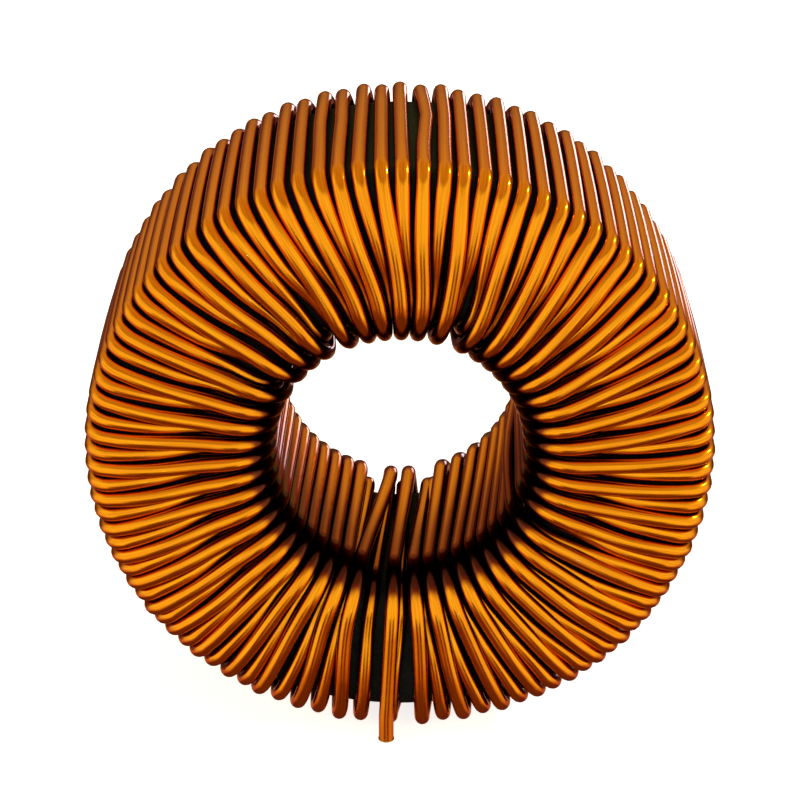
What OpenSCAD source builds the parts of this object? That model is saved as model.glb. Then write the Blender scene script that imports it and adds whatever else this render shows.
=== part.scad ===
// Toroidal inductor: a coated powder core wound once round with one enamelled wire.
//
// The ring stands upright with its axis along Y. The winding starts at the front of
// the lowest point, runs round the ring anticlockwise as seen from the front (-Y), and
// its two solder-coated ends point straight down, one in front and one behind.
// Origin: midway between the two ends, level with the lowest turns. +Z is up.
//
// Each turn goes along the outer wall from back to front, down the front face, through
// the bore to the back, and out over the back face. The bore is too small for one
// layer, so every second turn climbs over its neighbours and lies on top of them there.
//
// Places on the ring are given as [r, y, a]: r is the distance from the ring's axis,
// y is along the axis, and a is the angle in degrees from straight down, anticlockwise.

/* [Core] */
// Outer diameter of the coated core
core_outer_d = 46.7; // [40:0.1:60]
// Inner diameter of the coated core
core_inner_d = 24.1; // [20:0.1:30]
// Height of the core along its axis
core_h = 18; // [10:0.1:30]
// Radius of the core's rounded edges
core_edge = 2; // [1:0.1:3]

/* [Wire] */
// Diameter of the wire over its enamel
wire_d = 1.2; // [0.8:0.05:1.5]
// Clearance between the core and the turns that lie on it
wrap_gap = 0.03; // [0.02:0.01:0.2]
// Clearance between the lower and the upper layer
layer_gap = 0.02; // [0.01:0.01:0.2]

/* [Winding] */
// Average gap between neighbouring turns on the outer wall
wall_gap = 0.26; // [0.25:0.01:1]
// Gap between neighbouring turns of the upper layer in the bore
bore_gap = 0.005; // [0.005:0.005:0.5]
// Angle from straight down at which the winding starts
start_angle = -4; // [-8:0.5:0]
// Angle that a turn goes round the ring while it runs through the bore
bore_turn = 5.6; // [3.6:0.1:7]
// How far the first turn leans towards the last at the front, under the start
first_shift = 2.1; // [0:0.1:2.5]
// How far the first turn leans away at the back, which makes room for the finish
finish_room = 5.3; // [4:0.1:6]
// Number of turns over which that lean dies out
lean_turns = 8; // [6:1:12]
// Share of the free gap between turns on the outer wall that a turn wanders in
wander = 0.7; // [0:0.05:0.9]

/* [Ends] */
// Sideways place of the start; the finish mirrors it
end_x = -1.1; // [-1.4:0.05:-0.9]
// Length of the solder-coated ends
tip_l = 4; // [2:0.1:10]
// Thickness of the solder on the wire
solder_t = 0.05; // [0.02:0.01:0.1]
// Length over which an end runs straight down above the solder
end_straight = 2; // [1:0.1:5]

/* [Hidden] */

$fn = 96;
// Sides of the wire's section
wire_sides = 6;
// Waves in degrees, once to four times round, by which turns bunch up at the sides
bunching = [-0.4, 1.8, 1.4, 0.6];
// Places round the ring, as shares of a turn, where two lower turns lie side by side
doubles = [0.19, 0.444, 0.567, 0.656];
// Slots in the bore that stay free beside the start
free_slots = 2;
wander_seed = 7;
// Share of the way in across a face at which an upper turn has its middle ring
bulge_at = 0.4;
// How soon an upper turn climbs on its way in: 1 is a straight ramp
bulge_power = 3;

wire_r = wire_d / 2;
layer_step = wire_d + layer_gap;

// Centre of the wire on the outer wall, on a face and in the bore, for both layers
wall_r = core_outer_d / 2 + wrap_gap + wire_r;
face_y = [core_h / 2 + wrap_gap + wire_r, core_h / 2 + wrap_gap + wire_r + layer_step];
bore_r = [core_inner_d / 2 - wrap_gap - wire_r, core_inner_d / 2 - wrap_gap - wire_r - layer_step];
// Bend radius of the wire's centre round the core's edges, for both layers
bend_r = [core_edge + wrap_gap + wire_r, core_edge + wrap_gap + wire_r + layer_step];
// A 90 degree bend is drawn as three tangents, which meet this far from the middle
bend_cut = tan(22.5);

ring_z = wall_r + wire_r;

// Slots in the bore, half of them in the upper layer, and turns on the outer wall
bore_slots = 2 * floor(2 * PI * bore_r[1] / (wire_d + bore_gap));
wall_slots = 2 * floor(PI * wall_r / (wire_d + wall_gap)) + len(doubles) + free_slots;
slots = min(bore_slots, wall_slots);
turns = slots - len(doubles) - free_slots;

// Turn numbers at which the second of two lower turns lies
double_turns = [for (k = [0 : len(doubles) - 1])
    2 * round(doubles[k] * turns / 2) + k % 2];

tip_r = wire_r + solder_t;
end_y = face_y[1];

function unit(v) = v / norm(v);
function sum(v, i = 0) = i < len(v) ? v[i] + sum(v, i + 1) : 0;

// Slot of a turn in the bore; even slots are in the upper layer
function slot(i) = i + len([for (d = double_turns) if (i >= d) d]);
function layer(i) = 1 - slot(i) % 2;

// Angle at which a turn enters the bore at the front
function bore_angle(i) = start_angle + 360 * slot(i) / slots;

// Angle on the outer wall, bunched and wandering, at the front and at the back
function bunched(a) = a + sum([for (k = [0 : len(bunching) - 1])
    bunching[k] * sin((k + 1) * a)]);
function even_angle(k) = start_angle + bunched(360 * k / turns);
function free_gap(k) = (even_angle(k + 1) - even_angle(k)) * PI / 180 * rim_r - wire_d;
function wander_angle(k, draw) =
    draw * wander * max(0, free_gap(k)) / 2 / wall_r * 180 / PI;
front_draws = rands(-1, 1, turns + 1, wander_seed);
back_draws = rands(-1, 1, turns + 1, wander_seed + 1);
function lean(k) = finish_room * (1 - sin(90 * min(1, (k - 1) / lean_turns)));
function front_angle(k) = k == 1 ? even_angle(k) - first_shift
    : even_angle(k) + (k > lean_turns ? wander_angle(k, front_draws[k]) : 0);
function back_angle(k) = even_angle(k) + lean(k)
    + (k > lean_turns ? wander_angle(k, back_draws[k]) : 0);

// Where the bends of the outer wall and of the bore meet a face
rim_r = core_outer_d / 2 - core_edge + bend_r[0] * bend_cut;
function brim_r(l) = core_inner_d / 2 + core_edge - bend_r[l] * bend_cut;
// Height of a turn over its layer's start, a share s of the way in across a face
function climb(l, s) = l * layer_step * (1 - pow(1 - s, bulge_power));
function mid_r(l) = rim_r + (brim_r(l) - rim_r) * bulge_at;

// One end of a turn across a face; side is -1 in front and 1 behind. From the rim in.
function face_in(i, side, a_rim, a_bore) = let (l = layer(i))
    concat(
        [[rim_r, side * face_y[0], a_rim]],
        l == 1 ? [[mid_r(l), side * (face_y[0] + climb(l, bulge_at)),
            a_rim + (a_bore - a_rim) * pow(bulge_at, 2)]] : [],
        bore_bend(l, side, a_bore));
function bore_bend(l, side, a) = [
    [brim_r(l), side * face_y[l], a],
    [bore_r[l], side * (core_h / 2 - core_edge + bend_r[l] * bend_cut), a]];
// Along the outer wall from back to front; a leaning turn follows the wall's curve
function wall_bend(side, a) =
    [wall_r, side * (core_h / 2 - core_edge + bend_r[0] * bend_cut), a];
function wall_run(k) = concat(
    [wall_bend(1, back_angle(k))],
    k <= lean_turns ? [[wall_r, 0, (back_angle(k) + front_angle(k)) / 2]] : [],
    [wall_bend(-1, front_angle(k))]);
function reversed(v) = [for (k = [len(v) - 1 : -1 : 0]) v[k]];

function at(p) = [p[0] * sin(p[2]), p[1], ring_z - p[0] * cos(p[2])];

// The whole wire in ring places, without its two straight ends
function wire_places() = concat(
    bore_bend(1, -1, bore_angle(0)),
    [for (i = [0 : turns - 2]) each concat(
        reversed(face_in(i, 1, back_angle(i + 1), bore_angle(i) + bore_turn)),
        wall_run(i + 1),
        face_in(i + 1, -1, front_angle(i + 1), bore_angle(i + 1)))],
    reversed(bore_bend(layer(turns - 1), 1, bore_angle(turns - 1) + bore_turn)));

// Direction round the ring at a point, which keeps the section from twisting
function round_dir(p) = let (z = ring_z - p[2]) unit([z, 0, p[0]]);

// Section of the wire at a point of its path, mitred where the path bends
function section(before, p, after) =
    let (
        in = unit(p - before),
        out = unit(after - p),
        along = unit(in + out),
        turn = out - in,
        bend = norm(turn) > 0.001 ? unit(turn) : [0, 0, 0],
        stretch = 1 / sqrt((1 + in * out) / 2) - 1,
        side = round_dir(p),
        b = unit(side - (side * along) * along),
        n = cross(along, b))
    [for (k = [0 : wire_sides - 1])
        let (a = 360 * k / wire_sides, v = wire_r * (cos(a) * n + sin(a) * b))
        p + v + bend * (v * bend) * stretch];

module sweep(path) {
    last = len(path) - 1;
    points = [for (k = [0 : last]) each section(
        k == 0 ? 2 * path[0] - path[1] : path[k - 1], path[k],
        k == last ? 2 * path[last] - path[last - 1] : path[k + 1])];
    function id(k, s) = k * wire_sides + s % wire_sides;
    polyhedron(points, concat(
        [[for (s = [0 : wire_sides - 1]) id(0, s)]],
        [for (k = [0 : last - 1], s = [0 : wire_sides - 1]) each [
            [id(k, s), id(k + 1, s), id(k + 1, s + 1)],
            [id(k, s), id(k + 1, s + 1), id(k, s + 1)]]],
        [[for (s = [wire_sides - 1 : -1 : 0]) id(last, s)]]));
}

// Powder core with its black coating
module core() {
    wall = (core_outer_d - core_inner_d) / 2;
    color("#15171a")
    translate([0, 0, ring_z]) rotate([90, 0, 0])
    rotate_extrude()
    translate([core_inner_d / 2, -core_h / 2]) {
        translate([core_edge, 0]) square([wall - 2 * core_edge, core_h]);
        translate([0, core_edge]) square([wall, core_h - 2 * core_edge]);
        for (x = [core_edge, wall - core_edge], y = [core_edge, core_h - core_edge])
            translate([x, y]) circle(core_edge);
    }
}

// One enamelled wire, from the start in front to the finish behind
module winding() {
    straight = [0, 0, end_straight];
    start = [end_x, -end_y, 0];
    finish = [-end_x, end_y, 0];
    color("#c8700c")
    sweep(concat(
        [start, start + straight],
        [for (p = wire_places()) at(p)],
        [finish + straight, finish]));
}

// Solder-coated end of the wire, down from the level of the lowest turns
module solder_end() {
    rotate_extrude() intersection() {
        union() {
            translate([0, -tip_l + tip_r]) square([tip_r, tip_l - tip_r]);
            translate([0, -tip_l + tip_r]) circle(tip_r);
        }
        translate([0, -tip_l]) square([tip_r, tip_l]);
    }
}
module start_end() {
    color("#c9ccd0") translate([end_x, -end_y, 0]) solder_end();
}
module finish_end() {
    color("#c9ccd0") translate([-end_x, end_y, 0]) solder_end();
}

core();
winding();
start_end();
finish_end();
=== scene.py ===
"""Looks of an upright toroidal inductor: its wire, core, soldered ends and studio."""

import itertools
import math
import random

import bpy
from bpy.props import (
    FloatProperty,
    FloatVectorProperty,
    IntProperty,
    PointerProperty,
)
from mathutils import Euler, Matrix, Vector


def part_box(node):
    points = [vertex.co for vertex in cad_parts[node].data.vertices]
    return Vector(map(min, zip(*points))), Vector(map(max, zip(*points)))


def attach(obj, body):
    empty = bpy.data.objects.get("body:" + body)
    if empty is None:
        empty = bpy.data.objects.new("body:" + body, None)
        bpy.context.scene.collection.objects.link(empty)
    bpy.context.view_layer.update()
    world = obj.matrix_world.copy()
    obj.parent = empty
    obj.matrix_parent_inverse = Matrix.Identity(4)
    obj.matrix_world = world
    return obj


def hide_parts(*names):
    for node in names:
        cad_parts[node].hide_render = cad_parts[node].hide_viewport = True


bl_info = {
    "name": "Toroidal inductor",
    "version": (1, 0, 0),
    "blender": (4, 5, 0),
    "location": "3D View > Sidebar > Inductor",
    "description": "Winds a ring core with enamelled wire and lights it",
    "category": "Object",
}

MM = 0.001

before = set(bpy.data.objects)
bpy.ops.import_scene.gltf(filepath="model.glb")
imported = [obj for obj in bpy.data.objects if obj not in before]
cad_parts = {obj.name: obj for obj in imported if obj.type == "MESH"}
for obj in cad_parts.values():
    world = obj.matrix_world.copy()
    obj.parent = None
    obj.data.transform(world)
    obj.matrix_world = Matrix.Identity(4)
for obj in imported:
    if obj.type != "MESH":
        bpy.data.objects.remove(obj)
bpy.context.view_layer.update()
CORE_LOW, CORE_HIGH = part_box("core")
START_LOW, START_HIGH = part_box("start_end")

# Places round the ring, as shares of a turn, where two lower turns lie side by side
DOUBLES = (0.19, 0.46, 0.6, 0.656)
# Slots in the bore that stay free beside the start
FREE_SLOTS = 2
# Waves in degrees, once to four times round, by which turns bunch up at the sides
BUNCHING = (-0.4, 1.8, 1.4, 0.6)
# How much lower a turn lies at the ends of the outer wall than in its middle
WALL_SAG = 0.1 * MM
# Turns with a kink on the outer wall: share round the ring, share of the wall, size
KINKS = (
    (0.49, 0.4, -0.12 * MM), (0.5, 0.36, -0.4 * MM), (0.54, 0.4, -0.1 * MM),
    (0.55, 0.4, 0.14 * MM))
# Spread of a kink, as a share of the wall
KINK_WIDTH = 0.24
# Random draws, and how many each turn has: its angle in front and behind, its slope in
# front and behind, its bow, and one to spare
SEED = 7
DRAWS = 6

# Where on the ring, in degrees from straight down, the turns lie loosest on the outer
# wall, how far they stand off there, and how soon that dies out to both sides
LOOSE_AT = 40
LOOSE_GAP = 0.25 * MM
LOOSE_POWER = 12

# Crest of a lower and an upper turn on a face: distance from the axis, and height over
# the first layer in layer steps
CREST_R = (18.6 * MM, 17.6 * MM)
CREST_LIFT = (0.5, 1)
# Slope in degrees at which turns leave the outer edge: behind, and in front for both
# layers, with its mean and its swing from the bottom of the ring to the top
BACK_SLOPE = 13
FRONT_SLOPE = (15, 26)
FRONT_MEAN = 0.8
FRONT_SWING = 0.2
# Share by which that slope differs from turn to turn
SLOPE_SWAY = 0.15
# Sideways bow of a turn on a face, and of two lower turns that lie side by side
FACE_BOW = 0.2 * MM
PAIR_BOW = 0.2 * MM
# Least gap on a face that a turn strays in, and the pitch that counts there
LEAST_GAP = 0.1 * MM
STRAY_PITCH = 1.25

# Shifts in the bore, in slots: the first and the last turn, upper turns towards two
# lower ones that lie side by side, and lower turns near the start
FIRST_SHIFT = 0.4
LAST_SHIFT = 0.45
PAIR_SHIFT = 0.35
NEAR_SHIFT = 0.8
# Share of the last of these that the second turn has, and the turns it dies out over
SECOND_SHARE = 0.4
NEAR_TURNS = 16
# Share of the usual turn in the bore that these turns take; -2 is the last but one
BORE_SHARES = {0: 1.2, 1: 0.2, -2: 2.4}
# Further turn in the bore, in degrees, before the first and before the second double,
# and the share of the way to the first by which it is all there
FURTHER_TURN = (8, 4)
FURTHER_BY = 0.6
# How far the last turn before the first double bows into the bore
BORE_BOW = 0.5 * MM

# Points of the wire's path: round the outer edge, up to and down from a crest, round
# the bore's edge, along the wall, in the bore and on the way to an end
RIM_STEPS = 7
FACE_STEPS = 4
BRIM_STEPS = 8
WALL_STEPS = 5
BORE_STEPS = 5
LEAD_STEPS = 5

# Painted shade: how much darker the wire is painted on the outer wall, in the lower
# turns of a face, and in the bore, where depth and the bore's edge add to it
WALL_SHADE = 0.14
LOWER_SHADE = 0.55
BORE_SHADE = 0.42
DEPTH_SHADE = 0.5
BRIM_SHADE = 0.6
# Where these set in and where they are full: height over the core's face, distance
# from the axis, place along the axis, and share by which the edge faces along the axis
LOWER_HEIGHT = (1.8 * MM, 1.1 * MM)
LOWER_R = (20.5 * MM, 17 * MM)
DEPTH_Y = (-9 * MM, 7 * MM)
BRIM_IN = (0.05, 0.3)
BRIM_OUT = (0.92, 0.66)

FLOOR_SIZE = 6
# How far the floor lies under the lowest turns
FLOOR_DROP = 0.05 * MM
# Light that the floor adds for the camera alone
FLOOR_GLOW = 0.8
WHITE = (1, 1, 1, 1)

# The room as the wire mirrors it: name, middle (to the right of the front, up) and half
# size in degrees, softness of the edges, colour
WALLS = (0.15, 0.06, 0.04, 1)
ROOM = (
    ("dark table", (0, -62), (180, 22), 8, (0.16, 0.06, 0.04)),
    ("table", (0, -33), (180, 9), 6, (0.6, 0.26, 0.13)),
    ("backdrop", (180, 55), (90, 43), 30, (0.76, 0.74, 0.16)),
    ("overhead box", (0, 90), (180, 50), 40, (0.64, 0.48, 0.3)),
    ("front box", (0, 6), (115, 32), 26, (1.1, 1.2, 0.75)),
    ("left gap", (-24, -28), (14, 15), 10, (0.2, 0.06, 0.03)),
    ("right gap", (24, -28), (14, 15), 10, (0.2, 0.06, 0.03)),
    ("left box", (-57, -12), (20, 17), 8, (1.15, 1.2, 0.7)),
    ("right box", (57, -12), (20, 17), 8, (1.15, 1.2, 0.7)),
    ("far window", (160, -4), (6, 6), 4, (3.6, 4, 4.4)),
)
# Small lamps: name, direction as above, size and distance in metres, level
LAMPS = (
    ("dot_lamp", 116, 30, 0.035, 0.5, 200),
    ("left_spark", -18, -8, 0.012, 0.3, 60),
    ("right_spark", 18, -8, 0.012, 0.3, 60),
)
LAMP_COLOUR = (0.5, 0.7, 1)


class WindingSizes(bpy.types.PropertyGroup):
    """Sizes of the core and of the wire that is wound round it"""

    core_outer_d: FloatProperty(
        name="Core outside", description="Outer diameter of the coated core",
        default=CORE_HIGH.x - CORE_LOW.x, min=0.03, max=0.08, unit="LENGTH",
        precision=5)
    core_inner_d: FloatProperty(
        name="Core inside", description="Inner diameter of the coated core",
        default=24.1 * MM, min=0.02, max=0.04, unit="LENGTH", precision=5)
    core_h: FloatProperty(
        name="Core height", description="Height of the core along its axis",
        default=CORE_HIGH.y - CORE_LOW.y, min=0.01, max=0.03, unit="LENGTH",
        precision=5)
    core_edge: FloatProperty(
        name="Core edge", description="Radius of the core's rounded edges",
        default=2 * MM, min=0.001, max=0.003, unit="LENGTH", precision=5)
    rim_bend: FloatProperty(
        name="Rim bend", description="Radius of the wire's bend over the outer edge",
        default=1.9 * MM, min=0.0015, max=0.005, unit="LENGTH", precision=5)
    wire_d: FloatProperty(
        name="Wire", description="Diameter of the wire over its enamel",
        default=1.2 * MM, min=0.0008, max=0.0015, unit="LENGTH", precision=5)
    wrap_gap: FloatProperty(
        name="Wrap gap", description="Clearance between the core and the wire on it",
        default=0.03 * MM, min=0.0, max=0.0002, unit="LENGTH", precision=5)
    layer_gap: FloatProperty(
        name="Layer gap", description="Clearance between the lower and upper layer",
        default=0.02 * MM, min=0.0, max=0.0002, unit="LENGTH", precision=5)
    bore_gap: FloatProperty(
        name="Bore gap", description="Gap between upper turns in the bore",
        default=0.005 * MM, min=0.0, max=0.0005, unit="LENGTH", precision=5)
    bore_turn: FloatProperty(
        name="Bore turn", description="Angle a turn goes round while in the bore",
        default=math.radians(5.6), min=0.06, max=0.12, subtype="ANGLE")
    start_angle: FloatProperty(
        name="Start angle", description="Angle from straight down of the first slot",
        default=math.radians(-4), min=-0.14, max=0.0, subtype="ANGLE")
    first_shift: FloatProperty(
        name="First shift", description="Lean of the first turn under the start",
        default=math.radians(2.1), min=0.0, max=0.05, subtype="ANGLE")
    finish_room: FloatProperty(
        name="Finish room", description="Lean of the first turn at the back",
        default=math.radians(5.3), min=0.06, max=0.11, subtype="ANGLE")
    lean_turns: IntProperty(
        name="Leaning turns", description="Turns over which that lean dies out",
        default=8, min=6, max=12)
    wander: FloatProperty(
        name="Wander", description="Share of the free gap that a turn wanders in",
        default=0.7, min=0.0, max=0.9, subtype="FACTOR")
    end_straight: FloatProperty(
        name="Straight end", description="Length of wire straight above the solder",
        default=2.0 * MM, min=0.001, max=0.005, unit="LENGTH", precision=5)
    sides: IntProperty(
        name="Sides", description="Sides of the wire's round section",
        default=16, min=8, max=20)


class WindingColours(bpy.types.PropertyGroup):
    """Colours of the finishes"""

    copper: FloatVectorProperty(
        name="Copper", description="Copper as it shows through the enamel",
        default=(0.96, 0.34, 0.003, 1), min=0, max=1, size=4, subtype="COLOR")
    copper_deep: FloatVectorProperty(
        name="Deep copper", description="Copper under thicker enamel",
        default=(0.8, 0.245, 0.002, 1), min=0, max=1, size=4, subtype="COLOR")
    enamel: FloatVectorProperty(
        name="Enamel", description="Tint of the clear enamel",
        default=(0.95, 0.72, 0.35, 1), min=0, max=1, size=4, subtype="COLOR")
    # Painted shade: the colour the copper is painted where shade falls between the
    # turns and in the bore
    groove_shade: FloatVectorProperty(
        name="Groove", description="Darkened copper on the sides of the turns",
        default=(0.26, 0.03, 0.001, 1), min=0, max=1, size=4, subtype="COLOR")
    coating: FloatVectorProperty(
        name="Core coating", description="Black coating of the core",
        default=(0.008, 0.0085, 0.012, 1), min=0, max=1, size=4, subtype="COLOR")
    solder: FloatVectorProperty(
        name="Solder", description="Solder on the wire's ends",
        default=(0.62, 0.62, 0.60, 1), min=0, max=1, size=4, subtype="COLOR")
    floor: FloatVectorProperty(
        name="Floor", description="Pale floor and backdrop",
        default=(0.9, 0.92, 0.95, 1), min=0, max=1, size=4, subtype="COLOR")


class StudioSettings(bpy.types.PropertyGroup):
    """Where the camera stands and how it frames the ring"""

    elevation: FloatProperty(
        name="Elevation", description="Height of the camera over the horizon",
        default=math.radians(26.5), min=0.0, max=1.5, subtype="ANGLE")
    distance: FloatProperty(
        name="Distance", description="From the ring's centre to the camera",
        default=196.8 * MM, min=0.1, max=1.0, unit="LENGTH")
    lens: FloatProperty(
        name="Lens", description="Focal length on a 36 mm sensor",
        default=109.8, min=20, max=200)
    shift_right: FloatProperty(
        name="Shift right", description="Sideways shift of the frame",
        default=0.2 / 800, min=-0.1, max=0.1)
    shift_up: FloatProperty(
        name="Shift up", description="Upward shift of the frame",
        default=7.0 / 800, min=-0.1, max=0.1)


# Wire path ---------------------------------------------------------------------------


class Winding:
    """Places of the wire on the ring, as (distance from the axis, y, angle)."""

    def __init__(self, sizes):
        s = self.sizes = sizes
        r = self.wire_r = s.wire_d / 2
        step = self.step = s.wire_d + s.layer_gap
        self.wall_r = s.core_outer_d / 2 + s.wrap_gap + r
        self.face_y = s.core_h / 2 + s.wrap_gap + r
        self.bore_r = [s.core_inner_d / 2 - s.wrap_gap - r - k * step for k in (0, 1)]
        self.edge_r = [s.core_edge + s.wrap_gap + r + k * step for k in (0, 1)]
        self.bend_y = s.core_h / 2 - s.core_edge
        self.brim_r = s.core_inner_d / 2 + s.core_edge
        self.ring_z = self.wall_r + r
        room = 2 * math.pi * self.bore_r[1] / (s.wire_d + s.bore_gap)
        self.slots = 2 * math.floor(room)
        self.turns = self.slots - len(DOUBLES) - FREE_SLOTS
        self.doubles = [
            2 * round(share * self.turns / 2) + k % 2
            for k, share in enumerate(DOUBLES)]
        draw = random.Random(SEED)
        self.draws = [
            [draw.uniform(-1, 1) for _ in range(DRAWS)] for _ in range(self.turns + 2)]

    def wall_at(self, angle):
        """Distance of the outer turns from the axis, with their looseness."""
        loose = max(0, math.cos(angle - math.radians(LOOSE_AT)))
        return self.wall_r + LOOSE_GAP * loose ** LOOSE_POWER

    def crown(self, lay):
        """Radius and height of the crest that a layer's turns have on a face."""
        return CREST_R[lay], self.face_y + CREST_LIFT[lay] * self.step

    def slope(self, i, side):
        """Slope with which a turn leaves its bend over the outer edge."""
        sway = 1 + SLOPE_SWAY * self.draws[i][2 if side < 0 else 3]
        if side > 0:
            return math.radians(BACK_SLOPE) * sway
        rise = FRONT_MEAN - FRONT_SWING * math.cos(self.even_angle(i))
        return math.radians(FRONT_SLOPE[self.layer_at(i, side)]) * rise * sway

    def rim_y(self, i, side):
        """Where that bend starts on the outer wall."""
        slope, bend = self.slope(i, side), self.sizes.rim_bend
        crest_r, crest_y = self.crown(self.layer_at(i, side))
        r0 = self.wall_r - WALL_SAG + bend * (math.sin(slope) - 1)
        return crest_y - bend * math.cos(slope) - math.tan(slope) * (r0 - crest_r) / 2

    def slot(self, i):
        """Slot of a turn in the bore; even slots are in the upper layer."""
        return i + sum(i >= d for d in self.doubles)

    def layer(self, i):
        """Nought for a lower turn and one for an upper turn."""
        return 1 - self.slot(i) % 2

    def layer_at(self, i, side):
        """Layer at the front (-1) or back (1); turn 2 sinks between them."""
        return 0 if i == 2 and side > 0 else self.layer(i)

    def bore_angle(self, i):
        """Angle at which a turn enters the bore at the front."""
        slot_turn = 2 * math.pi / self.slots
        angle = self.sizes.start_angle + slot_turn * self.slot(i)
        if i == 0:
            return angle + FIRST_SHIFT * slot_turn
        if self.layer(i) == 1:
            over = sum(
                PAIR_SHIFT * ((i == d - 2) - (i == d + 1)) for d in self.doubles[1:])
            return angle + slot_turn * (over + (i < self.doubles[0]))
        near = 1 - min(i, self.turns - i) / NEAR_TURNS
        last = LAST_SHIFT * slot_turn if i == self.turns - 1 else 0
        share = SECOND_SHARE if i == 1 else 1
        return angle + last + NEAR_SHIFT * slot_turn * max(0, near) ** 2 * share

    def bore_exit(self, i):
        """Angle at which a turn leaves the bore at the back."""
        turn = self.sizes.bore_turn * BORE_SHARES.get(i if i < 2 else i - self.turns, 1)
        first, second = self.doubles[:2]
        if 1 < i < first:
            turn += math.radians(FURTHER_TURN[0]) * smooth(i, 1, first * FURTHER_BY)
        elif first <= i < second:
            turn += math.radians(FURTHER_TURN[1]) * smooth(i, second, first)
        return self.bore_angle(i) + turn

    def even_angle(self, k):
        """Angle of a turn on the outer wall, before it strays or leans."""
        a = 2 * math.pi * k / self.turns
        waves = sum(
            math.radians(w) * math.sin((n + 1) * a) for n, w in enumerate(BUNCHING))
        return self.sizes.start_angle + a + waves

    def stray(self, k, draw):
        """Angle by which a turn strays into the free gap beside it."""
        if k <= self.sizes.lean_turns:
            return 0
        middle = self.brim_r + self.wall_r
        pitch = (self.even_angle(k + 1) - self.even_angle(k)) * middle / 2
        gap = max(LEAST_GAP, pitch * STRAY_PITCH - self.sizes.wire_d)
        return draw * self.sizes.wander * gap / 2 / self.wall_r

    def front_angle(self, k):
        """Angle at which a turn leaves the outer wall at the front."""
        if k == 1:
            return self.even_angle(k) - self.sizes.first_shift
        return self.even_angle(k) + self.stray(k, self.draws[k][0])

    def back_angle(self, k):
        """Angle at which a turn comes to the outer wall at the back."""
        share = min(1, (k - 1) / self.sizes.lean_turns)
        lean = self.sizes.finish_room * (1 - math.sin(math.pi / 2 * share))
        return self.even_angle(k) + lean + self.stray(k, self.draws[k][1])

    def face_run(self, i, side, a_rim, a_bore):
        """From the outer wall in over one face, as far as the bore."""
        lay = self.layer_at(i, side)
        bend = self.sizes.rim_bend
        top = math.pi / 2 - self.slope(i, side)
        rim_y = self.rim_y(i, side)
        run = [
            (self.wall_at(a_rim) - WALL_SAG + bend * (math.cos(t) - 1),
             side * (rim_y + bend * math.sin(t)), a_rim)
            for t in (top * n / RIM_STEPS for n in range(1, RIM_STEPS + 1))]
        r0, y0 = run[-1][0], abs(run[-1][1])
        crest_r, crest_y = self.crown(lay)
        inner_y = self.bend_y + self.edge_r[lay]
        shares = [n / FACE_STEPS for n in range(1, FACE_STEPS + 1)]
        profile = [
            (r0 + (crest_r - r0) * share, y0 + (crest_y - y0) * (1 - (1 - share) ** 2))
            for share in shares]
        profile += [
            (crest_r + (self.brim_r - crest_r) * share,
             crest_y + (inner_y - crest_y) * (3 - 2 * share) * share ** 2)
            for share in shares]
        first = Vector((r0 * math.sin(a_rim), r0 * math.cos(a_rim)))
        last = Vector((self.brim_r * math.sin(a_bore), self.brim_r * math.cos(a_bore)))
        bow = FACE_BOW * self.draws[i][4]
        for double in self.doubles[1:]:
            if i in (double - 1, double):
                bow = PAIR_BOW * (1 if i < double else -1)
        for r, y in profile:
            share = (r0 - r) / (r0 - self.brim_r)
            flat = first.lerp(last, share)
            aside = bow * math.sin(math.pi * share) ** 2 / r
            angle = math.atan2(flat.x, flat.y) + aside
            angle = a_rim + math.remainder(angle - a_rim, 2 * math.pi)
            run.append((flat.length, side * y, angle))
        return run + self.bore_bend(lay, side, a_bore)

    def bore_bend(self, lay, side, angle):
        """Round the bore's edge, from a face into the bore."""
        bend = self.edge_r[lay]
        turned = [math.pi / 2 * n / BRIM_STEPS for n in range(1, BRIM_STEPS + 1)]
        return [
            (self.brim_r - bend * math.sin(t),
             side * (self.bend_y + bend * math.cos(t)), angle)
            for t in turned]

    def wall_run(self, k):
        """Along the outer wall from back to front."""
        back, front = self.back_angle(k), self.front_angle(k)
        back_y, front_y = self.rim_y(k - 1, 1), -self.rim_y(k, -1)
        run = []
        for n in range(WALL_STEPS + 1):
            share = n / WALL_STEPS
            kink = sum(
                size * math.exp(-(((share - where) / KINK_WIDTH) ** 2))
                for place, where, size in KINKS if round(place * self.turns) == k)
            run.append((
                self.wall_at(back) - WALL_SAG * (1 - 2 * share) ** 2,
                back_y + (front_y - back_y) * share,
                back + (front - back) * share + kink / self.wall_r))
        return run

    def bore_run(self, i):
        """Through the bore from front to back."""
        start, end = self.bore_angle(i), self.bore_exit(i)
        near, far = (self.bore_r[self.layer_at(i, side)] for side in (-1, 1))
        loose = BORE_BOW if i == self.doubles[0] - 2 else 0
        run = []
        for n in range(1, BORE_STEPS):
            share = n / BORE_STEPS
            r = near + (far - near) * share - loose * math.sin(math.pi * share)
            angle = start + (end - start) * share
            run.append((r, self.bend_y * (2 * share - 1), angle))
        return run

    def smoothed(self, places, reach=1.6 * MM):
        """The same places with their angles eased over a length of wire."""
        points = [self.at(place) for place in places]
        steps = [(b - a).length for a, b in zip(points, points[1:])]
        along = [0, *itertools.accumulate(steps)]
        spans = [a + b for a, b in zip([steps[0], *steps], [*steps, steps[-1]])]
        eased = []
        first = 0
        for k, (r, y, _) in enumerate(places):
            while along[k] - along[first] > 3 * reach:
                first += 1
            total = angle = 0
            for j in range(first, len(places)):
                off = (along[j] - along[k]) / reach
                if off > 3:
                    break
                weight = math.exp(-off ** 2 / 2) * spans[j]
                total += weight
                angle += weight * places[j][2]
            eased.append((r, y, angle / total))
        return eased

    def at(self, place):
        """Point of a place on the ring."""
        r, y, a = place
        return Vector((r * math.sin(a), y, self.ring_z - r * math.cos(a)))

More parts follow.
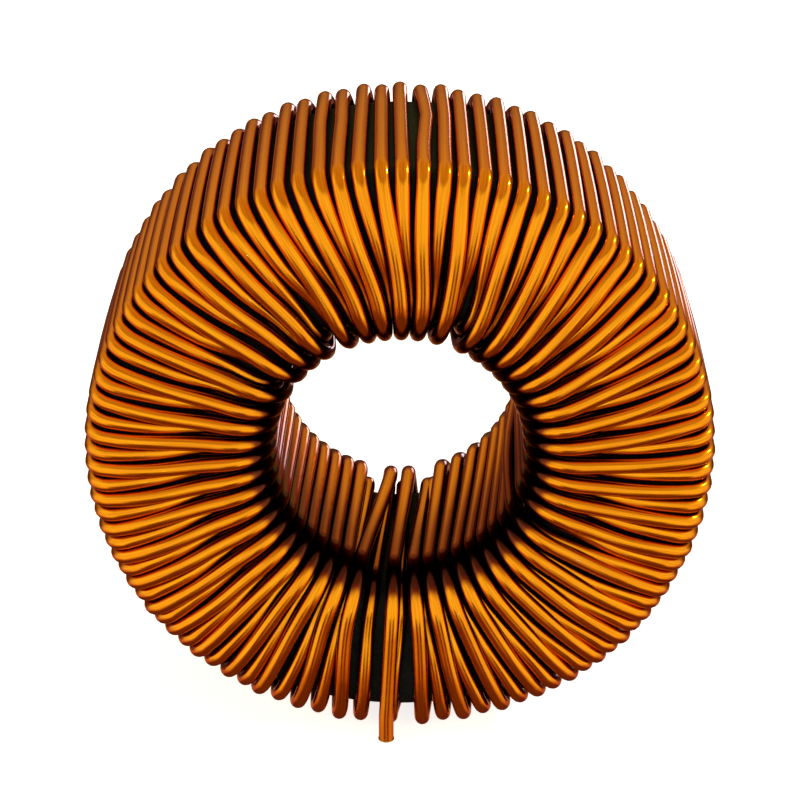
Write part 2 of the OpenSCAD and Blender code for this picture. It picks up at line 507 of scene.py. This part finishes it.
    def outward(self, point):
        """Direction away from the core at a point on or in the wire."""
        up = Vector((point.x, 0, point.z - self.ring_z))
        r = up.length
        inner, outer = self.brim_r, self.wall_r - self.sizes.rim_bend
        over = max(0, r - outer) - max(0, inner - r)
        past = max(0, abs(point.y) - self.bend_y)
        way = up * (over / r) + Vector((0, math.copysign(past, point.y), 0))
        return way.normalized()

    def path(self, end):
        """The whole wire's centre line; end is where the start's solder begins."""
        finish = Vector((-end.x, -end.y, end.z))
        places = self.bore_bend(self.layer(0), -1, self.bore_angle(0))
        places += self.bore_run(0)
        for i in range(self.turns - 1):
            places += reversed(
                self.face_run(i, 1, self.back_angle(i + 1), self.bore_exit(i)))
            places += self.wall_run(i + 1)
            places += self.face_run(
                i + 1, -1, self.front_angle(i + 1), self.bore_angle(i + 1))
            places += self.bore_run(i + 1)
        last = self.turns - 1
        places += reversed(self.bore_bend(self.layer(last), 1, self.bore_exit(last)))
        line = [self.at(place) for place in self.smoothed(places)]
        return self.lead(end, line[0]) + line + self.lead(finish, line[-1])[::-1]

    def lead(self, foot, top):
        """Straight up from the solder, then over to the first bend."""
        knee = foot + Vector((0, 0, self.sizes.end_straight))
        return [foot, knee] + [
            knee.lerp(top, n / LEAD_STEPS) for n in range(1, LEAD_STEPS)]


# Small tools -------------------------------------------------------------------------


def smooth(value, start, end):
    """Rises from nought at the start to one at the end, with both eased."""
    share = min(1, max(0, (value - start) / (end - start)))
    return share * share * (3 - 2 * share)


def deselect():
    bpy.ops.object.select_all(action="DESELECT")


def finish_piece(piece, name, material):
    """Names a piece, gives it its finish and hangs it on the frame."""
    piece.name = piece.data.name = name
    piece.data.materials.clear()
    piece.data.materials.append(material)
    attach(piece, "root")


def new_material(name):
    """A material and its nodes, links and shader."""
    material = bpy.data.materials.new(name)
    material.use_nodes = True
    nodes, links = material.node_tree.nodes, material.node_tree.links
    return material, nodes, links, nodes["Principled BSDF"]


def noise(nodes, links, vector, scale, detail=2.0, roughness=0.5):
    """Noise over a place in space or on a surface."""
    node = nodes.new("ShaderNodeTexNoise")
    node.inputs["Scale"].default_value = scale
    node.inputs["Detail"].default_value = detail
    node.inputs["Roughness"].default_value = roughness
    links.new(vector, node.inputs["Vector"])
    return node.outputs["Fac"]


def ramp(nodes, links, value, stops):
    """A colour ramp with stops of (place, colour)."""
    node = nodes.new("ShaderNodeValToRGB")
    links.new(value, node.inputs["Fac"])
    elements = node.color_ramp.elements
    while len(elements) < len(stops):
        elements.new(0.5)
    for element, (place, colour) in zip(elements, stops):
        element.position = place
        element.color = colour
    return node.outputs["Color"]


def bump(nodes, links, height, shader, strength, distance):
    """Roughens a shader's surface by a height."""
    node = nodes.new("ShaderNodeBump")
    node.inputs["Strength"].default_value = strength
    node.inputs["Distance"].default_value = distance
    links.new(height, node.inputs["Height"])
    links.new(node.outputs["Normal"], shader.inputs["Normal"])


def math_node(nodes, links, operation, a, b=None):
    """A sum on one or two values, each a number or a socket."""
    node = nodes.new("ShaderNodeMath")
    node.operation = operation
    for value, socket in zip((a, b), node.inputs):
        if isinstance(value, (int, float)):
            socket.default_value = value
        elif value is not None:
            links.new(value, socket)
    return node.outputs[0]


def window(nodes, links, angle, middle, half, soft):
    """One near a middle angle, and zero past soft edges; all in degrees."""
    off = math_node(nodes, links, "SUBTRACT", angle, math.radians(middle))
    turn = math_node(nodes, links, "WRAP", off, math.pi)
    turn.node.inputs[2].default_value = -math.pi
    away = math_node(nodes, links, "ABSOLUTE", turn)
    node = nodes.new("ShaderNodeMapRange")
    node.interpolation_type = "SMOOTHSTEP"
    node.inputs["From Min"].default_value = math.radians(half + soft / 2)
    node.inputs["From Max"].default_value = math.radians(half - soft / 2)
    links.new(away, node.inputs["Value"])
    return node.outputs["Result"]


def mix_colours(nodes, links, factor, a, b):
    """From one colour to another, each a colour or a socket."""
    node = nodes.new("ShaderNodeMix")
    node.data_type = "RGBA"
    links.new(factor, node.inputs["Factor"])
    for value, name in ((a, "A"), (b, "B")):
        if isinstance(value, bpy.types.NodeSocket):
            links.new(value, node.inputs[name])
        else:
            node.inputs[name].default_value = value
    return node.outputs["Result"]


def grey(level):
    return (level, level, level, 1)


def scaled(colour, factor):
    return (*(factor * part for part in colour[:3]), 1)


# Finishes ----------------------------------------------------------------------------


def enamelled_copper(colours):
    """Bright drawn copper under glossy amber enamel, with painted shade between the
    turns, on the outer wall and in the bore.
    """
    material, nodes, links, shader = new_material("enamelled_copper")
    shader.inputs["Metallic"].default_value = 1.0
    shader.inputs["Specular Tint"].default_value = (0.7, 0.3, 0.04, 1)
    shader.inputs["Coat Roughness"].default_value = 0.03
    shader.inputs["Coat IOR"].default_value = 1.4
    shader.inputs["Coat Tint"].default_value = colours.enamel
    gloss = nodes.new("ShaderNodeLayerWeight").outputs["Facing"]
    coat = nodes.new("ShaderNodeMapRange")
    coat.inputs["From Min"].default_value = 0.35
    coat.inputs["To Min"].default_value = 0.3
    coat.inputs["To Max"].default_value = 1.0
    links.new(gloss, coat.inputs["Value"])
    links.new(coat.outputs["Result"], shader.inputs["Coat Weight"])
    coordinates = nodes.new("ShaderNodeTexCoord")
    place = coordinates.outputs["Object"]
    stretch = nodes.new("ShaderNodeMapping")
    stretch.inputs["Scale"].default_value = (900, 22, 1)
    links.new(coordinates.outputs["UV"], stretch.inputs["Vector"])
    drawn = noise(nodes, links, stretch.outputs["Vector"], 1.0, 2, 0.6)
    colour = ramp(nodes, links, drawn, [
        (0.36, tuple(colours.copper_deep)), (0.62, tuple(colours.copper))])
    # Painted shade: the crest mark takes the copper to the groove colour and near black
    # on the sides of the turns, on the outer wall, in the lower turns and in the bore
    crest = nodes.new("ShaderNodeAttribute")
    crest.attribute_name = "crest"
    groove_shade = nodes.new("ShaderNodeMapRange")
    groove_shade.interpolation_type = "SMOOTHSTEP"
    groove_shade.inputs["From Min"].default_value = -0.08
    groove_shade.inputs["From Max"].default_value = 0.44
    links.new(crest.outputs["Fac"], groove_shade.inputs["Value"])
    shade = nodes.new("ShaderNodeMapRange")
    shade.inputs["From Min"].default_value = -0.5
    shade.inputs["From Max"].default_value = 0.15
    links.new(crest.outputs["Fac"], shade.inputs["Value"])
    shade_colour = ramp(nodes, links, shade.outputs["Result"], [
        (0, (0.012, 0.003, 0.002, 1)), (1, tuple(colours.groove_shade))])
    base = mix_colours(nodes, links, groove_shade.outputs["Result"], shade_colour, colour)
    links.new(base, shader.inputs["Base Color"])
    streaks = noise(nodes, links, place, 900, 2)
    rough = ramp(nodes, links, streaks, [(0.3, grey(0.17)), (0.7, grey(0.25))])
    links.new(rough, shader.inputs["Roughness"])
    bump(nodes, links, noise(nodes, links, place, 1500, 2), shader, 0.15, 0.00002)
    return material


def core_coating(colours):
    """Matt black coating with a fine grain."""
    material, nodes, links, shader = new_material("core_coating")
    place = nodes.new("ShaderNodeTexCoord").outputs["Object"]
    grain = noise(nodes, links, place, 2500, 3)
    tone = ramp(nodes, links, grain, [
        (0.3, tuple(colours.coating)), (0.8, scaled(colours.coating, 2.2))])
    links.new(tone, shader.inputs["Base Color"])
    shader.inputs["Roughness"].default_value = 0.6
    shader.inputs["Specular IOR Level"].default_value = 0.15
    bump(nodes, links, grain, shader, 0.4, 0.00005)
    return material


def solder(colours):
    """Satin solder."""
    material, nodes, links, shader = new_material("solder")
    place = nodes.new("ShaderNodeTexCoord").outputs["Object"]
    dull = noise(nodes, links, place, 1200, 3)
    tone = ramp(nodes, links, dull, [
        (0.3, tuple(colours.solder)), (0.8, scaled(colours.solder, 0.7))])
    links.new(tone, shader.inputs["Base Color"])
    shader.inputs["Metallic"].default_value = 1.0
    rough = ramp(nodes, links, dull, [(0.3, grey(0.25)), (0.7, grey(0.4))])
    links.new(rough, shader.inputs["Roughness"])
    bump(nodes, links, noise(nodes, links, place, 700, 2), shader, 0.3, 0.0001)
    return material


# Operators ---------------------------------------------------------------------------


class INDUCTOR_OT_wind(bpy.types.Operator):
    """Wind the wire round the core, from the start end to the finish end"""

    bl_idname = "inductor.wind"
    bl_label = "Wind the wire"

    def execute(self, context):
        sizes = context.scene.winding_sizes
        winding = Winding(sizes)
        centre = (START_LOW + START_HIGH) / 2
        line = winding.path(Vector((centre.x, centre.y, START_HIGH.z)))
        deselect()
        bpy.ops.curve.primitive_nurbs_path_add(location=(0, 0, 0))
        wire = context.object
        curve = wire.data
        curve.splines.clear()
        spline = curve.splines.new("POLY")
        spline.points.add(len(line) - 1)
        for point, place in zip(spline.points, line):
            point.co = (*place, 1)
        curve.bevel_depth = winding.wire_r
        curve.bevel_resolution = sizes.sides // 2 - 2
        curve.use_fill_caps = True
        bpy.ops.object.convert(target="MESH")
        bpy.ops.object.shade_smooth()
        self.mark_crest_shade(wire.data, winding)
        finish_piece(
            wire, "wire", enamelled_copper(context.scene.winding_colours))
        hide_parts("winding")
        return {"FINISHED"}

    def mark_crest_shade(self, mesh, winding):
        """Notes on each vertex how far it faces away from the core, less painted shade
        on the outer wall, in the lower turns and in the bore.
        """
        crest = mesh.attributes.new("crest", "FLOAT", "POINT")
        for mark, vertex in zip(crest.data, mesh.vertices):
            away = winding.outward(vertex.co)
            up = Vector((vertex.co.x, 0, vertex.co.z - winding.ring_z)).normalized()
            inward = max(0, -away.dot(up))
            outward = max(0, away.dot(up))
            # Masks for the painted shade at the bore's edge, deep in the bore and in
            # the lower turns of a face
            brim = smooth(abs(away.y), *BRIM_IN) * smooth(abs(away.y), *BRIM_OUT)
            depth = smooth(-vertex.co.y, *DEPTH_Y)
            height = abs(vertex.co.y) - winding.sizes.core_h / 2
            r = math.hypot(vertex.co.x, vertex.co.z - winding.ring_z)
            lower = smooth(height, *LOWER_HEIGHT) * smooth(r, *LOWER_R)
            mark.value = (
                vertex.normal.dot(away) - WALL_SHADE * outward
                - LOWER_SHADE * lower * (1 - inward)
                - inward * (BORE_SHADE + DEPTH_SHADE * depth + BRIM_SHADE * brim))


class INDUCTOR_OT_coat_core(bpy.types.Operator):
    """Give the core its black coating"""

    bl_idname = "inductor.coat_core"
    bl_label = "Coat the core"

    def execute(self, context):
        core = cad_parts["core"]
        core.material_slots[0].material = core_coating(context.scene.winding_colours)
        return {"FINISHED"}


class INDUCTOR_OT_tin_ends(bpy.types.Operator):
    """Give the two ends of the wire their solder"""

    bl_idname = "inductor.tin_ends"
    bl_label = "Tin the ends"

    def execute(self, context):
        material = solder(context.scene.winding_colours)
        for name in ("start_end", "finish_end"):
            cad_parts[name].material_slots[0].material = material
        return {"FINISHED"}


class INDUCTOR_OT_set_stage(bpy.types.Operator):
    """Add the floor, the lamps, the room's light and the camera"""

    bl_idname = "inductor.set_stage"
    bl_label = "Set the stage"

    def execute(self, context):
        scene = context.scene
        self.lay_floor(scene.winding_colours)
        self.light_room(scene)
        self.add_lamps()
        self.place_camera(scene, scene.studio_settings)
        return {"FINISHED"}

    def lay_floor(self, colours):
        """A wide pale floor, which the camera sees as white."""
        deselect()
        bpy.ops.mesh.primitive_plane_add(size=FLOOR_SIZE, location=(0, 0, -FLOOR_DROP))
        floor = bpy.context.object
        floor.name = "floor"
        material, nodes, links, shader = new_material("pale_floor")
        shader.inputs["Base Color"].default_value = colours.floor
        shader.inputs["Roughness"].default_value = 0.9
        shader.inputs["Specular IOR Level"].default_value = 0.0
        floor.data.materials.append(material)
        floor.visible_glossy = False
        seen = nodes.new("ShaderNodeLightPath").outputs["Is Camera Ray"]
        glow = math_node(nodes, links, "MULTIPLY", seen, FLOOR_GLOW)
        shader.inputs["Emission Color"].default_value = WHITE
        links.new(glow, shader.inputs["Emission Strength"])

    def light_room(self, scene):
        """The room round the object, which the camera itself sees as white."""
        world = bpy.data.worlds.new("room")
        scene.world = world
        world.use_nodes = True
        nodes, links = world.node_tree.nodes, world.node_tree.links
        split = nodes.new("ShaderNodeSeparateXYZ")
        links.new(nodes.new("ShaderNodeTexCoord").outputs["Generated"], split.inputs[0])
        back = math_node(nodes, links, "MULTIPLY", split.outputs["Y"], -1)
        azimuth = math_node(nodes, links, "ARCTAN2", split.outputs["X"], back)
        elevation = math_node(nodes, links, "ARCSINE", split.outputs["Z"])
        light = WALLS
        for name, (side, up), (width, height), soft, colour in ROOM:
            mask = math_node(
                nodes, links, "MULTIPLY",
                window(nodes, links, azimuth, side, width, soft),
                window(nodes, links, elevation, up, height, soft))
            light = mix_colours(nodes, links, mask, light, (*colour, 1))
            light.node.label = name
        seen = nodes.new("ShaderNodeLightPath").outputs["Is Camera Ray"]
        view = mix_colours(nodes, links, seen, light, WHITE)
        links.new(view, nodes["Background"].inputs["Color"])

    def add_lamps(self):
        """Small lamps, which make the sparks on the bends of the wire."""
        aim = (CORE_LOW + CORE_HIGH) / 2
        for name, side, up, size, distance, level in LAMPS:
            side, up = math.radians(side), math.radians(up)
            away = Vector((
                math.sin(side) * math.cos(up),
                -math.cos(side) * math.cos(up),
                math.sin(up)))
            bpy.ops.object.light_add(type="AREA", location=aim + away * distance)
            lamp = bpy.context.object
            lamp.name = name
            lamp.data.shape = "RECTANGLE"
            lamp.data.size = lamp.data.size_y = size
            lamp.data.energy = level * math.pi * size ** 2
            lamp.data.color = LAMP_COLOUR
            lamp.rotation_euler = away.to_track_quat("Z", "Y").to_euler()

    def place_camera(self, scene, studio):
        """The camera in front, looking down on the ring's centre."""
        centre = (CORE_LOW + CORE_HIGH) / 2
        away = Vector((0, -math.cos(studio.elevation), math.sin(studio.elevation)))
        bpy.ops.object.camera_add(
            location=centre + away * studio.distance,
            rotation=Euler((math.pi / 2 - studio.elevation, 0, 0)))
        camera = bpy.context.object
        camera.data.lens = studio.lens
        camera.data.sensor_width = 36
        camera.data.shift_x = studio.shift_right
        camera.data.shift_y = studio.shift_up
        camera.data.clip_start = 0.01
        scene.camera = camera
        scene.view_settings.view_transform = "Standard"


class INDUCTOR_PT_panel(bpy.types.Panel):
    """Sizes, colours and steps of the inductor"""

    bl_idname = "INDUCTOR_PT_panel"
    bl_label = "Toroidal inductor"
    bl_space_type = "VIEW_3D"
    bl_region_type = "UI"
    bl_category = "Inductor"

    def draw(self, context):
        layout = self.layout
        for group in ("winding_sizes", "winding_colours", "studio_settings"):
            settings = getattr(context.scene, group)
            box = layout.box()
            for name in settings.__annotations__:
                box.prop(settings, name)
        for step in STEPS:
            layout.operator(step.bl_idname)


STEPS = (
    INDUCTOR_OT_wind,
    INDUCTOR_OT_coat_core,
    INDUCTOR_OT_tin_ends,
    INDUCTOR_OT_set_stage,
)
CLASSES = (WindingSizes, WindingColours, StudioSettings, *STEPS, INDUCTOR_PT_panel)


def register():
    for cls in CLASSES:
        bpy.utils.register_class(cls)
    bpy.types.Scene.winding_sizes = PointerProperty(type=WindingSizes)
    bpy.types.Scene.winding_colours = PointerProperty(type=WindingColours)
    bpy.types.Scene.studio_settings = PointerProperty(type=StudioSettings)


def unregister():
    del bpy.types.Scene.studio_settings
    del bpy.types.Scene.winding_colours
    del bpy.types.Scene.winding_sizes
    for cls in reversed(CLASSES):
        bpy.utils.unregister_class(cls)


def main():
    register()
    bpy.ops.inductor.wind()
    bpy.ops.inductor.coat_core()
    bpy.ops.inductor.tin_ends()
    bpy.ops.inductor.set_stage()


if __name__ == "__main__":
    main()
